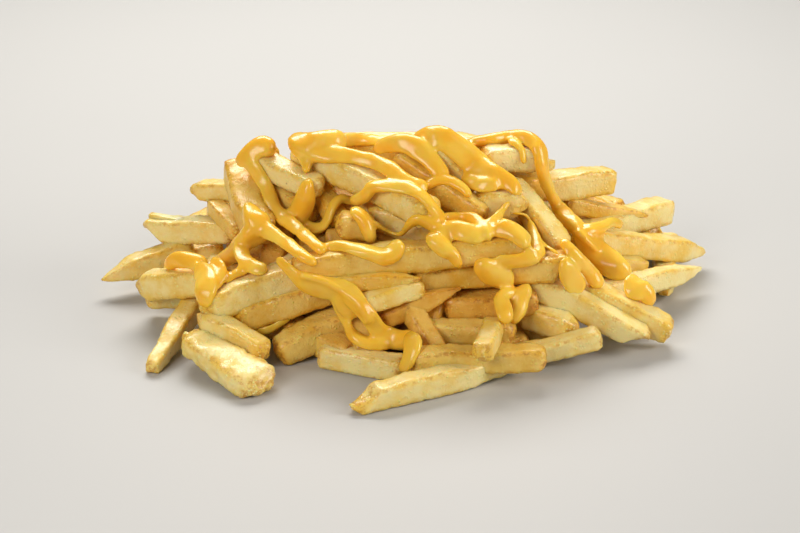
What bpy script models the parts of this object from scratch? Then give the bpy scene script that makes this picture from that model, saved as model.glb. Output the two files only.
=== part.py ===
"""A heap of french fries under thick cheese sauce, as one solid with a flat underside.

The frame is +Z up and +X to the heap's right, with the origin on the table under its middle.
Lengths in the constants and the tables are millimetres. The meshes are made in metres.
"""

import math
import random

import bmesh
import bpy
import numpy as np
from mathutils import Vector
from mathutils.bvhtree import BVHTree

MM = 0.001

# The heap: half its width and depth on the table, and the height that its slope would reach
# in the middle. A fry on the table has its middle line FRY_REST above it.
HALF_WIDTH = 104.0
HALF_DEPTH = 88.0
PEAK = 57.0
FRY_REST = 4.0
SLOPE_POWER = 1.15

# A fry's section is a square with cut corners. CORNER and the scales are shares of half its width.
# A fry whose lowest point is within TABLE_REACH of the table is laid on it, TABLE_DIP deep, so
# that the flat underside cuts it.
CORNER = 0.6
BEND = 0.9
TABLE_REACH = 1.6
TABLE_DIP = 0.3

# The ways an end is cut. Each ring there: how far in it lies, its scale, and how much further in
# its top and its bottom are.
END_KINDS = {
    "cut": ((0.0, 0.78, 0.0, 0.0), (1.3, 1.0, 0.0, 0.0)),
    "round": ((0.0, 0.6, 0.0, 0.0), (2.6, 1.0, 0.0, 0.0)),
    "slant": ((0.0, 0.7, 5.0, 0.0), (1.6, 1.0, 5.0, 0.0)),
    "chisel": ((0.0, 0.6, 7.5, 0.0), (2.0, 1.0, 7.0, 0.0)),
    "under": ((0.0, 0.7, 0.0, 5.0), (1.6, 1.0, 0.0, 5.0)),
    "wedge": ((0.0, 0.62, 0.0, 0.0), (16.0, 1.0, 0.0, 0.0)),
    "tip": ((0.0, 0.22, 0.0, 0.0), (11.0, 1.0, 0.0, 0.0)),
}

# The core under the fries: a mound whose side is steeper than a dome's, with uneven rings.
CORE_HALF_WIDTH = 68.0
CORE_HALF_DEPTH = 53.0
CORE_HEIGHT = 43.0
CORE_FOOT = -1.0
CORE_BULGE = 2.2
CORE_CROWDING = 1.4
CORE_RINGS = 6
CORE_SIDES = 18
CORE_LUMPS = 2.5

# The fries of the far side and the gaps, placed by a rule: how many, how deep under the heap's
# slope, between which turns about its middle, and how far out as a share of its outline.
LAYERS = (
    (20, 0.0, (0.0, math.pi), 1.02),
    (14, 6.0, (0.0, math.pi), 1.02),
    (12, 12.0, (0.0, math.pi), 1.02),
    (8, 10.0, (math.pi, math.tau), 0.66),
)
FRY_LENGTHS = (28.0, 62.0)
FRY_WIDTHS = (6.4, 8.6)
SCATTER_SEED = 11
SCATTER_TRIES = 1500
SCATTER_REACH = 0.95
LINE_POINTS = 9
# The nearest that two middle lines may come, as a share of the gap at which the fries touch,
# and the furthest at which one still rests on the other.
NEAREST = 0.75
RESTING = 0.88
MOST_BRIDGED = 7.0

# The drizzle that shows from the front is laid out as seen from VIEWPOINT: across and up
# on a plane through LOOK_AT.
VIEW_RISE = math.radians(24.0)
VIEW_DISTANCE = 678.0
LOOK_AT = Vector((-2.5, 0.0, 10.0))
TOWARD_VIEWER = Vector((0.0, -math.cos(VIEW_RISE), math.sin(VIEW_RISE)))
VIEWPOINT = LOOK_AT + VIEW_DISTANCE * TOWARD_VIEWER
VIEW_RIGHT = Vector((1.0, 0.0, 0.0))
VIEW_UP = Vector((0.0, math.sin(VIEW_RISE), math.cos(VIEW_RISE)))

# A line of drizzle is a flattened tube: how thick it is as a share of its width, how far its middle
# lies over what it is on as a share of its thickness, and how far its ends reach out as a share
# of its width.
STRAND_STEP = 5.0
STRAND_SIDES = 6
STRAND_FLATNESS = 0.8
STRAND_SINK = 0.16
STRAND_END_SCALE = 0.6
OVERRUN = 0.3
# It lies as near to where it is seen from as the nearest thing at these shares of half its width
# from its middle line, or STRAND_DROOP behind it at most.
STRAND_FEELERS = (-0.8, 0.0, 0.8)
STRAND_DROOP = 2.0

# The drizzle on the far side, poured from above in wandering lines that run outwards between
# these turns, from and to these shares of the heap's outline.
FAR_STRANDS = 9
FAR_STRAND_TURNS = (0.2 * math.pi, 0.8 * math.pi)
FAR_STRAND_WIDTHS = (3.0, 9.0)
FAR_STRAND_STARTS = (0.12, 0.3)
FAR_STRAND_ENDS = (0.5, 0.85)
FAR_STRAND_KNOTS = 6
FAR_STRAND_WANDER = 0.28
FAR_STRAND_RISE = 1.5
STRAND_SEED = 23

# The finished solid.
MOST_TRIANGLES = 11200
MEND_PASSES = 6
WELD = 0.001

FRY_COLOUR = (0.72, 0.46, 0.14, 1.0)
FRY_ROUGHNESS = 0.6

# The fries that show from the front: start, end, width, how each end is cut, the sideways bend, and,
# where it isn't as tall as it is wide, its height as a share of the width.
SHOWN_FRIES = {
    # On the table at the front.
    "front_long": ((-17, -86, 4), (34, -59, 4), 7.6, "chisel", "wedge", 0),
    "front_upper": ((1, -66, 7.5), (42, -65, 7.5), 7.8, "round", "cut", 1),
    "front_rise": ((27, -57.5, 3.2), (60.5, -51, 9), 6.2, "cut", "cut", 0),
    "front_stub": ((-27.3, -53.2, 4), (-1.6, -64.3, 4), 7.6, "cut", "cut", 0),
    "front_amber": ((-41, -52, 4), (-18, -42, 12), 8.8, "cut", "cut", 0),
    "low_round": ((3, -50, 11), (33, -52, 10), 7.2, "round", "cut", 0),
    "facing_stub": ((27.6, -54.7, 14.8), (22, -73, 13.2), 6.8, "cut", "cut", 0),
    "low_right": ((37.5, -40, 11.5), (52, -47, 9.5), 8.6, "cut", "round", 0),
    # The front face of the heap.
    "mid_brown": ((-8, -50, 14), (16, -46, 23), 6.4, "cut", "tip", 0),
    "mid_thick": ((12, -43, 16), (41, -43, 17), 8.4, "cut", "cut", 0),
    "mid_left": ((-14, -54, 21), (4, -47, 24), 6.2, "cut", "cut", 0),
    "mid_long": ((2, -42, 24.5), (51.5, -39, 28), 8.8, "cut", "under", 1),
    "mid_thin": ((-30, -46, 25), (3, -50, 28), 5.6, "cut", "tip", 0),
    "long_front": ((-36, -45, 29), (37, -43, 37), 8.2, "cut", "wedge", 0),
    "long_left": ((-64, -45, 16), (-30, -36, 26), 9.6, "round", "cut", 0),
    "amber_under": ((-54, -45, 12), (-22, -39, 20), 8.4, "round", "cut", 0),
    # The left end.
    "wide_front": ((-68, -51, 8.5), (-45.5, -74, 4.2), 12.0, "round", "cut", 0, 0.68),
    "narrow_front": ((-65, -46, 13), (-45, -59, 7), 6.8, "round", "cut", 0),
    "left_down": ((-80, -60, 3), (-62, -4, 15), 6.8, "wedge", "cut", 0),
    "left_stub": ((-87, -20, 12), (-65, -30, 19), 8.4, "round", "cut", 0),
    "left_stub_low": ((-86, -18, 6), (-72, -18, 7), 6.2, "cut", "cut", 0),
    "left_tip": ((-103, -2, 6), (-74, 9, 14), 7.2, "tip", "cut", 0),
    "left_behind": ((-79, 12, 7), (-64, 13, 11), 6.6, "cut", "cut", 0),
    "left_long": ((-89, 14, 18), (-59, 1, 23), 8.0, "under", "cut", 0),
    "left_sliver": ((-88, 14, 22.5), (-74, 8, 22.5), 3.6, "wedge", "tip", 0),
    "left_high": ((-72, 15, 32), (-42, -1, 37), 6.6, "round", "cut", 0),
    "left_curved": ((-66, 8, 29), (-55, -14, 28), 6.0, "round", "cut", 1),
    # The left shoulder and the top.
    "left_steep": ((-57, 6, 44), (-48, -25, 32), 10.0, "cut", "cut", 0),
    "left_back": ((-51, -1, 50), (-29, -20, 46), 7.6, "cut", "cut", 0),
    "left_under": ((-46, -4, 41), (-31, -18, 36), 7.2, "cut", "cut", 0),
    "left_inner": ((-34, -1, 47), (-22, -24, 37), 6.4, "cut", "cut", 0),
    "top_long": ((-36, -3, 54), (8, -37, 44), 9.0, "cut", "cut", 0),
    "skin_stub": ((-22, -34, 40), (-11, -33, 38), 8.0, "cut", "cut", 0),
    "inner_round": ((-12, -25, 39), (10, -32, 35), 7.8, "cut", "cut", 0),
    "top_middle": ((-3, -15, 55), (24, -30, 41), 7.8, "cut", "cut", 0),
    "top_ridge": ((8, -14, 58), (21, -17, 45), 7.6, "cut", "cut", 0),
    "top_low": ((8, -13, 43), (24, -29, 34), 7.6, "cut", "cut", 0),
    "top_chunk": ((22.5, -26, 44.5), (36.5, -24, 42.5), 9.0, "round", "round", 0),
    "top_right": ((25, -9, 52), (48, -2, 50), 8.0, "cut", "slant", 0),
    "ridge_left": ((-24, 3, 50), (10, 3, 51), 7.8, "cut", "cut", 0),
    "ridge_right": ((7, 1, 54), (44, 4, 49), 7.8, "cut", "cut", 0),
    # The right side.
    "slope_pale": ((33, -13, 45), (49, -32, 30), 7.4, "cut", "cut", 1),
    "right_upper": ((33, -3, 40), (69, 13, 36), 9.0, "cut", "cut", 0),
    "right_thin": ((53, 3, 31), (82, 16, 22), 5.0, "cut", "tip", 0),
    "right_white": ((54, -3, 22), (92, 31, 19), 8.6, "cut", "round", 0),
    "right_tip": ((54, -14, 27), (104, 23, 5), 7.8, "cut", "tip", 0),
    "right_stub": ((58, -17, 18), (80, -2, 11), 6.2, "cut", "cut", 0),
    "right_blade": ((56, -31, 14), (100, 4, 8), 6.6, "cut", "tip", -2),
    "right_low": ((48, -31, 21), (84, -41, 5.5), 8.0, "cut", "cut", 0),
    "right_pale": ((39, -38, 22), (76, -46, 5), 8.0, "cut", "under", 0),
}

# The drizzle that shows from the front: across, up and width at each point of a line's route,
# as seen from VIEWPOINT.
SHOWN_STRANDS = {
    # The left side.
    "left_mound": ((-54, 35, 5), (-51, 38, 7), (-46, 41, 8), (-44, 39, 7)),
    "left_run": (
        (-51, 35, 5.5), (-48, 31, 7), (-45, 26, 6.5), (-43, 21, 6.5),
        (-40, 17, 6.5), (-35, 13, 6), (-26, 5, 4),
    ),
    "left_fall": ((-52, 21, 3), (-50, 17, 9), (-48, 13, 11), (-53, 8, 7.5), (-57, 4, 7.5), (-62, 1, 6)),
    "left_fork": ((-48, 14, 10), (-44, 11, 8), (-40, 8, 7.5), (-34, 4, 7), (-29, 0, 4.5)),
    "left_loop": ((-54, 7, 7), (-53, 3, 6.5), (-50, 0, 6), (-46, -1, 4.5)),
    "left_ridge": ((-59, -5, 2.5), (-55, -2, 4), (-52, -2, 3)),
    "left_patch": ((-79, 0, 4), (-76, 2, 6.5), (-71, 2, 6.5), (-67, 0, 6.5)),
    "left_drip": ((-68, 0, 6), (-66, -4, 8.5), (-66, -9, 8.5), (-66, -13, 5)),
    "left_drop": ((-63, 2, 5), (-61, -1, 5.5), (-62, -5, 5), (-64, -7, 4)),
    "amber_drip": ((-49, -21.5, 3.2), (-45, -21.5, 4.2), (-41, -19.5, 4), (-37, -17.5, 3)),
    # The top.
    "top_cover": ((-36, 43, 7), (-31, 41, 11), (-25, 42, 10), (-20, 43, 8)),
    "top_corner": ((-34, 40, 7), (-32, 36, 5.5), (-32, 32, 2.5)),
    "top_strand": ((-31, 39, 8), (-23, 38, 7), (-14, 37, 6), (-5, 34, 6), (2, 29, 6), (8, 27, 5.5)),
    "top_arch": ((8, 27, 4.5), (12, 29, 4), (17, 29, 4), (22, 26, 4), (23, 24, 3.5)),
    "top_rim": ((-22, 42.5, 7), (-14, 43, 5), (-4, 42.5, 4.5), (6, 43, 4.5)),
    "top_sheet": ((-8, 40, 5), (0, 42, 7.5), (6, 40, 8.5), (11, 35, 7), (15, 31, 5)),
    "top_ribbon": (
        (6, 43, 7), (11, 44, 9), (17, 42, 9.5), (23, 37, 10),
        (28, 32, 10.5), (32.5, 28.5, 8.5), (35.5, 27, 5),
    ),
    "top_lip": ((22, 30, 5), (27, 28, 5), (33, 27, 4)),
    "inner_blob": ((-31, 29, 4.5), (-32, 24, 7.5), (-34, 19, 9), (-36, 16, 7)),
    # The middle.
    "middle_start": (
        (-33, 14, 4), (-28, 13, 4.5), (-25, 15, 4),
        (-23, 20, 4), (-20, 23, 4), (-16, 22, 4),
    ),
    "middle_wave": (
        (-16, 22, 4.5), (-12, 24, 5), (-9, 27, 5), (-1, 27, 4.8),
        (6, 25, 5), (11, 20, 5), (14, 16, 5),
    ),
    "middle_turn": ((14, 16, 5), (18, 16, 5.5), (24, 16, 6), (28, 13, 6), (30, 10, 5)),
    "middle_sheet": ((15, 13, 6), (21, 12, 8), (27, 10, 7)),
    "stub_drop": ((-16, 19, 4.5), (-13, 17, 6), (-11, 13, 5.5), (-10, 9, 4)),
    "hollow_string": (
        (-9, 15, 1.8), (-4, 12, 1.8), (0, 11, 2.2), (3, 14, 3.5),
        (6, 16, 4.5), (11, 14, 5), (17, 10, 5),
    ),
    "front_tick": ((-26, 7, 2.5), (-16, 7, 3.4), (-9, 5, 5), (-4, 3, 6.5), (-1, 6, 6.2), (-1, 8, 5)),
    "front_drip": ((11, 10, 6.5), (15, 6, 7), (18, 4, 5.5), (20, 0, 2.4)),
    # The right side.
    "right_start": ((24, 42, 4.5), (31, 43, 4.5), (38, 44, 5.5)),
    "right_run": (
        (38, 44, 5.5), (44, 43, 6), (47, 40, 6), (48, 35, 5.6),
        (49, 30, 5), (51, 25, 5), (53, 21, 5.6),
    ),
    "right_slide": ((53, 21, 5.6), (57, 16, 6.4), (61, 12, 6.8), (62, 8, 7)),
    "right_branch": ((37, 43, 3), (41, 40, 3), (42, 35, 2.4)),
    "right_bank": ((63, 12, 6), (67, 13, 5.6), (72, 15, 4.8), (75, 14, 4)),
    "right_bank_drop": ((67, 12, 5.5), (67, 7, 4.5)),
    "right_wide": ((62, 9, 7), (65, 6, 10), (69, 3, 11), (73, 0, 10.5), (77, -2, 6)),
    "right_finger": ((57, 7, 5), (60, 3, 6), (64, 0, 7), (67, -5, 7.5)),
    "right_patch": ((56, 2, 6), (58, -2, 8.5), (60, -7, 7.5)),
    "right_blob": ((79, -4, 6), (79, -8, 7.5), (83, -8, 7.5), (85, -12, 4.8)),
    "slope_tick": ((37, 22, 2), (34, 18, 3), (32, 14, 7.5), (38, 12, 7.5), (43, 8, 6)),
    "slope_fall": ((44, 15, 3), (46, 9, 4.6), (47, 4, 6)),
    "slope_string": ((38, 18, 1.4), (43, 17, 1.4), (46, 10, 1.4), (54, 4, 1.4)),
    "end_wrap": ((36, 10, 2.4), (40, 10, 2.6), (43, 7, 2.6)),
    "mid_patch": ((33, 2, 4.5), (41, 2, 6.2), (46, 4, 7)),
    "mid_square": ((28, 2, 7), (31, -2, 10), (33, -5, 8.5)),
    "cup_left": ((38, -8, 4), (35, -10, 6), (35, -14, 6.6), (36, -18, 6)),
    "cup_right": ((43, -7, 5.6), (41, -11, 6.6), (40, -15, 6.6), (38, -18, 5.5)),
    # The front.
    "front_start": ((-38, 4, 6), (-36, 0, 6), (-32, -5, 7), (-25, -7, 9), (-18, -8, 9)),
    "front_run": (
        (-18, -8, 8.5), (-14, -13, 7.4), (-9, -19, 7),
        (-6, -23, 7.4), (0, -25, 8.5), (4, -24, 6.5),
    ),
    "front_side": (
        (-22, -9, 5), (-21, -13, 4.6), (-18, -19, 4),
        (-16, -23, 4.6), (-11, -26, 5), (-4, -26, 5.5),
    ),
    "front_fall": ((4, -24, 7), (4, -27, 7.5), (3, -31, 6), (1, -35, 4)),
}

# The line above which nothing of the far side may show from the front, as the drizzle is laid out.
SKYLINE = ((-100, -3), (-37, 42), (54, 39), (106, 4))


def clear_scene():
    for thing in list(bpy.data.objects):
        bpy.data.objects.remove(thing, do_unlink=True)


def material(name, colour, roughness):
    made = bpy.data.materials.new(name)
    made.use_nodes = True
    shader = made.node_tree.nodes["Principled BSDF"]
    shader.inputs["Base Color"].default_value = colour
    shader.inputs["Roughness"].default_value = roughness
    shader.inputs["Metallic"].default_value = 0.0
    return made


def add_object(name, points, faces, collection):
    mesh = bpy.data.meshes.new(name)
    mesh.from_pydata([tuple(point * MM) for point in points], [], faces)
    made = bpy.data.objects.new(name, mesh)
    collection.objects.link(made)
    return made


def tube_faces(rings, sides):
    """The faces of rings joined in order, with both ends closed."""
    faces = [tuple(reversed(range(sides)))]
    for ring in range(rings - 1):
        first = ring * sides
        for side in range(sides):
            after = (side + 1) % sides
            faces.append((first + side, first + after, first + sides + after, first + sides + side))
    faces.append(tuple((rings - 1) * sides + side for side in range(sides)))
    return faces


def fry_rings(length, start_kind, end_kind):
    """The rings of a fry: how far along each lies, its scale, and how far on its top and bottom are."""
    rings = list(END_KINDS[start_kind])
    rings.append((length / 2, 1.0, 0.0, 0.0))
    for inset, scale, top, bottom in reversed(END_KINDS[end_kind]):
        rings.append((length - inset, scale, -top, -bottom))
    return rings


def fry(start, end, width, start_kind, end_kind, bend, flatness=1.0):
    """The points and faces of one fry, laid on the table where it comes close to it."""
    start, end = Vector(start), Vector(end)
    length = (end - start).length
    along = (end - start).normalized()
    side = Vector((0.0, 0.0, 1.0)).cross(along).normalized()
    up = along.cross(side)
    half = width / 2
    section = [
        (1.0, CORNER), (CORNER, 1.0), (-CORNER, 1.0), (-1.0, CORNER),
        (-1.0, -CORNER), (-CORNER, -1.0), (CORNER, -1.0), (1.0, -CORNER),
    ]
    rings = fry_rings(length, start_kind, end_kind)
    points = []
    for distance, scale, top, bottom in rings:
        share = distance / length
        bow = bend * BEND * 4 * share * (1 - share)
        for across, rise in section:
            lean = top * (0.5 + 0.5 * rise) + bottom * (0.5 - 0.5 * rise)
            points.append(
                start
                + along * (distance + lean)
                + side * (across * half * scale + bow)
                + up * rise * half * scale * flatness
            )
    lowest = min(point.z for point in points)
    if abs(lowest) < TABLE_REACH:
        drop = Vector((0.0, 0.0, -TABLE_DIP - lowest))
        points = [point + drop for point in points]
    return points, tube_faces(len(rings), len(section))


def core():
    """The lumpy mound that the fries lie on."""
    draw = random.Random(SCATTER_SEED)
    points = []
    for ring in range(CORE_RINGS):
        out = 1 - (ring / CORE_RINGS) ** CORE_CROWDING
        height = CORE_HEIGHT * (1 - out**CORE_BULGE) if ring else CORE_FOOT
        for side in range(CORE_SIDES):
            angle = math.tau * side / CORE_SIDES
            lump = draw.uniform(-CORE_LUMPS, CORE_LUMPS) if ring else 0.0
            points.append(
                Vector(
                    (
                        (CORE_HALF_WIDTH * out + lump) * math.cos(angle),
                        (CORE_HALF_DEPTH * out + lump) * math.sin(angle),
                        height + lump,
                    )
                )
            )
    return points, tube_faces(CORE_RINGS, CORE_SIDES)


def core_height(point):
    out = math.hypot(point.x / CORE_HALF_WIDTH, point.y / CORE_HALF_DEPTH)
    return CORE_HEIGHT * (1 - min(out, 1.0) ** CORE_BULGE)


def heap_height(x, y):
    out = math.hypot(x / HALF_WIDTH, y / HALF_DEPTH)
    return FRY_REST + (PEAK - FRY_REST) * (1 - min(out, 1.0) ** SLOPE_POWER)


def middle_line(start, end):
    """Points along a fry's middle line."""
    shares = np.linspace(0.0, 1.0, LINE_POINTS)[:, None]
    return np.array(start) * (1 - shares) + np.array(end) * shares


def closeness(line, width, placed):
    """The gap to the nearest fry, as a share of the one at which they would touch."""
    lines = np.array([other for other, _ in placed])
    widths = np.array([other_width for _, other_width in placed])
    apart = np.linalg.norm(lines[:, :, None, :] - line[None, None, :, :], axis=3).min(axis=(1, 2))
    return (2 * apart / (widths + width)).min()


def seen_at(point):
    """Where a point shows from the viewpoint: across and up."""
    sight = point - VIEWPOINT
    sight *= VIEW_DISTANCE / -sight.dot(TOWARD_VIEWER)
    offset = VIEWPOINT + sight - LOOK_AT
    return offset.dot(VIEW_RIGHT), offset.dot(VIEW_UP)


def under_skyline(point, margin):
    across, up = seen_at(point)
    for (left, left_up), (right, right_up) in zip(SKYLINE, SKYLINE[1:]):
        if left <= across <= right:
            share = (across - left) / (right - left)
            return up + margin < left_up + share * (right_up - left_up)
    return False


def hidden(point, shown):
    sight = point - VIEWPOINT
    return shown.ray_cast(VIEWPOINT, sight.normalized(), sight.length - 1.0)[0] is not None


def resting_ends(middle, heading, length, depth, farthest):
    """The ends of a fry that lies this deep under the heap's slope, or None if it would not lie flat."""
    reach = Vector((math.cos(heading), math.sin(heading), 0.0)) * length / 2
    ends = [middle - reach, middle + reach]
    for end in ends:
        if math.hypot(end.x / HALF_WIDTH, end.y / HALF_DEPTH) > farthest:
            return None
        end.z = max(heap_height(end.x, end.y) - depth, FRY_REST)
    centre = (ends[0] + ends[1]) / 2
    if abs(centre.z - heap_height(centre.x, centre.y) + depth) > MOST_BRIDGED:
        return None
    return ends


def scatter(count, depth, turns, farthest, placed, shown, draw):
    """Fries on the heap's slope, or this deep under it, that touch the others and don't cross them."""
    lengths = sorted((draw.uniform(*FRY_LENGTHS) for _ in range(count)), reverse=True)
    found = []
    for length in lengths:
        width = draw.uniform(*FRY_WIDTHS)
        for _ in range(SCATTER_TRIES):
            turn = draw.uniform(*turns)
            out = math.sqrt(draw.uniform(0.0, 1.0)) * SCATTER_REACH
            middle = Vector((HALF_WIDTH * out * math.cos(turn), HALF_DEPTH * out * math.sin(turn), 0.0))
            ends = resting_ends(middle, draw.uniform(0, math.tau), length, depth, farthest)
            if ends is None:
                continue
            line = middle_line(*ends)
            near = closeness(line, width, placed)
            centre = (ends[0] + ends[1]) / 2
            on_core = core_height(centre) > centre.z - width / 2
            if near < NEAREST or (near > RESTING and not on_core):
                continue
            checks = [ends[0], centre, ends[1]]
            if depth == 0 and not all(hidden(point, shown) for point in checks):
                continue
            if not all(under_skyline(point, width / 2) for point in checks):
                continue
            placed.append((line, width))
            kinds = [draw.choice(("cut", "cut", "slant", "tip")) for _ in range(2)]
            found.append(fry(ends[0], ends[1], width, kinds[0], kinds[1], draw.choice((-1, 0, 1))))
            break
    return found


def sight_from_front(across, up):
    target = LOOK_AT + VIEW_RIGHT * across + VIEW_UP * up
    return VIEWPOINT, (target - VIEWPOINT).normalized()


def sight_from_above(x, y):
    return Vector((x, y, 2 * PEAK)), Vector((0.0, 0.0, -1.0))


def smooth_route(points, step):
    """Points at about this step along a smooth curve through the given ones."""
    knots = [Vector(point) for point in points]
    knots = [2 * knots[0] - knots[1]] + knots + [2 * knots[-1] - knots[-2]]
    route = []
    for before, start, end, after in zip(knots, knots[1:], knots[2:], knots[3:]):
        pieces = max(1, round((end - start).length / step))
        for piece in range(pieces):
            t = piece / pieces
            route.append(
                0.5
                * (
                    2 * start
                    + (end - before) * t
                    + (2 * before - 5 * start + 4 * end - after) * t**2
                    + (3 * start - before - 3 * end + after) * t**3
                )
            )
    route.append(knots[-2])
    return route


def lengthened(route):
    """The route with its ends pushed out, as the sauce is round beyond them."""
    knots = [Vector(point) for point in route]
    for end, inner in ((0, 1), (-1, -2)):
        outward = (knots[end] - knots[inner]).xy.normalized() * knots[end].z * OVERRUN
        knots[end] += outward.to_3d()
    return knots


def felt_reach(spot, left, sight, surface):
    """How far along its sight line the sauce lies at this spot, going by what is there and beside it."""
    hits = [surface.ray_cast(*sight(*(spot.xy + left * share)))[3] for share in STRAND_FEELERS]
    found = [hit for hit in hits if hit is not None]
    if not found:
        return math.nan
    middle = hits[STRAND_FEELERS.index(0.0)]
    nearest = min(found) + STRAND_DROOP
    return nearest if middle is None else min(middle, nearest)


def drape(spots, sight, surface):
    """The middle line of the sauce over these spots, bridging the surface's narrow gaps."""
    reaches = []
    for index, spot in enumerate(spots):
        ahead = (spots[min(index + 1, len(spots) - 1)] - spots[max(index - 1, 0)]).xy
        left = ahead.orthogonal().normalized() * spot.z / 2
        reaches.append(felt_reach(spot, left, sight, surface))
    if np.isnan(reaches).all():
        return []
    reaches = np.where(np.isnan(reaches), np.nanmax(reaches), reaches)
    for how in (np.min, np.mean):
        padded = np.pad(reaches, 1, "edge")
        reaches = how([padded[:-2], padded[1:-1], padded[2:]], axis=0)
    sights = [sight(spot.x, spot.y) for spot in spots]
    return [origin + direction * reach for (origin, direction), reach in zip(sights, reaches)]


def strand(route, sight, facing, surface):
    """A flattened tube laid along the route, with its flat side to where it is seen from."""
    spots = smooth_route(lengthened(route), STRAND_STEP)
    path = drape(spots, sight, surface)
    if not path:
        return None
    points = []
    for index, (centre, spot) in enumerate(zip(path, spots)):
        ahead = path[min(index + 1, len(path) - 1)] - path[max(index - 1, 0)]
        out = (facing - ahead * facing.dot(ahead) / ahead.length_squared).normalized()
        side = out.cross(ahead).normalized()
        scale = STRAND_END_SCALE if index in (0, len(path) - 1) else 1.0
        width = spot.z * scale
        thick = width * STRAND_FLATNESS
        lift = spot.z * STRAND_FLATNESS * STRAND_SINK
        for corner in range(STRAND_SIDES):
            angle = math.tau * corner / STRAND_SIDES
            across, rise = math.cos(angle) * width / 2, math.sin(angle) * thick / 2
            points.append(centre + side * across + out * (rise + lift))
    return points, tube_faces(len(path), STRAND_SIDES)


def far_route(index, draw):
    first, last = FAR_STRAND_TURNS
    turn = first + (last - first) * (index + draw.uniform(0.2, 0.8)) / FAR_STRANDS
    wander = draw.uniform(-FAR_STRAND_WANDER, FAR_STRAND_WANDER)
    inner, outer = draw.uniform(*FAR_STRAND_STARTS), draw.uniform(*FAR_STRAND_ENDS)
    route = []
    for knot in range(FAR_STRAND_KNOTS):
        share = knot / (FAR_STRAND_KNOTS - 1)
        out = inner + (outer - inner) * share
        angle = turn + wander * math.sin(math.pi * share * 1.5)
        width = draw.uniform(*FAR_STRAND_WIDTHS)
        route.append((HALF_WIDTH * out * math.cos(angle), HALF_DEPTH * out * math.sin(angle), width))
    return route


def drizzle(surface):
    draw = random.Random(STRAND_SEED)
    found = []
    for route in SHOWN_STRANDS.values():
        found.append(strand(route, sight_from_front, TOWARD_VIEWER, surface))
    for index in range(FAR_STRANDS):
        route = far_route(index, draw)
        middle = Vector(route[FAR_STRAND_KNOTS // 2][:2]).normalized()
        outward = Vector((middle.x, middle.y, FAR_STRAND_RISE)).normalized()
        found.append(strand(route, sight_from_above, outward, surface))
    return [piece for piece in found if piece is not None]


def surface_of(pieces):
    """A tree for ray casts against all these pieces."""
    points, faces = [], []
    for piece_points, piece_faces in pieces:
        first = len(points)
        points += piece_points
        faces += [tuple(first + index for index in face) for face in piece_faces]
    return BVHTree.FromPolygons(points, faces)


def unite(base, pieces):
    """One closed solid of the base and all the pieces."""
    gathered = bpy.data.collections.new("pieces")
    for index, (points, faces) in enumerate(pieces):
        add_object(f"piece_{index}", points, faces, gathered)
    modifier = base.modifiers.new("union", "BOOLEAN")
    modifier.operation = "UNION"
    modifier.operand_type = "COLLECTION"
    modifier.solver = "MANIFOLD"
    modifier.collection = gathered
    apply_modifiers(base)
    for piece in list(gathered.objects):
        bpy.data.objects.remove(piece, do_unlink=True)
    bpy.data.collections.remove(gathered)


def apply_modifiers(thing):
    graph = bpy.context.evaluated_depsgraph_get()
    mesh = bpy.data.meshes.new_from_object(thing.evaluated_get(graph))
    thing.modifiers.clear()
    thing.data = mesh


def cut_underside(base):
    """Flattens what dips below the table."""
    size = 4 * HALF_WIDTH
    square = ((-size, -size), (size, -size), (size, size), (-size, size))
    corners = [Vector((x, y, z)) for z in (-size, 0.0) for x, y in square]
    faces = tube_faces(2, len(square))
    cutter = add_object("table", corners, faces, bpy.context.scene.collection)
    modifier = base.modifiers.new("underside", "BOOLEAN")
    modifier.operation = "DIFFERENCE"
    modifier.solver = "MANIFOLD"
    modifier.object = cutter
    apply_modifiers(base)
    bpy.data.objects.remove(cutter, do_unlink=True)


def thin_out(base):
    """Drops the slivers and the spare triangles that the union leaves on flat faces."""
    base.data.update()
    triangles = sum(len(face.vertices) - 2 for face in base.data.polygons)
    modifier = base.modifiers.new("thin out", "DECIMATE")
    modifier.ratio = min(1.0, MOST_TRIANGLES / triangles)
    modifier.use_collapse_triangulate = True
    apply_modifiers(base)


def mend_touching_edges(base):
    """Opens the solid where it only touches itself along an edge, and closes each side on its own."""
    mesh = bmesh.new()
    mesh.from_mesh(base.data)
    bmesh.ops.triangulate(mesh, faces=mesh.faces)
    bmesh.ops.remove_doubles(mesh, verts=mesh.verts, dist=WELD * MM)
    for _ in range(MEND_PASSES):
        touching = {vert for edge in mesh.edges if len(edge.link_faces) != 2 for vert in edge.verts}
        if not touching:
            break
        bmesh.ops.delete(mesh, geom=list(touching), context="VERTS")
        rims = [edge for edge in mesh.edges if edge.is_boundary]
        filled = bmesh.ops.holes_fill(mesh, edges=rims, sides=0)
        bmesh.ops.triangulate(mesh, faces=filled["faces"])
    mesh.to_mesh(base.data)
    mesh.free()


def keep_largest_body(base):
    """Drops loose scraps and the walls of sealed hollows."""
    mesh = bmesh.new()
    mesh.from_mesh(base.data)
    unvisited = set(mesh.verts)
    bodies = []
    while unvisited:
        front = [unvisited.pop()]
        body = list(front)
        while front:
            vert = front.pop()
            for edge in vert.link_edges:
                other = edge.other_vert(vert)
                if other in unvisited:
                    unvisited.remove(other)
                    front.append(other)
                    body.append(other)
        bodies.append(body)
    bodies.sort(key=len)
    loose = [vert for body in bodies[:-1] for vert in body]
    bmesh.ops.delete(mesh, geom=loose, context="VERTS")
    mesh.to_mesh(base.data)
    mesh.free()


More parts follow.
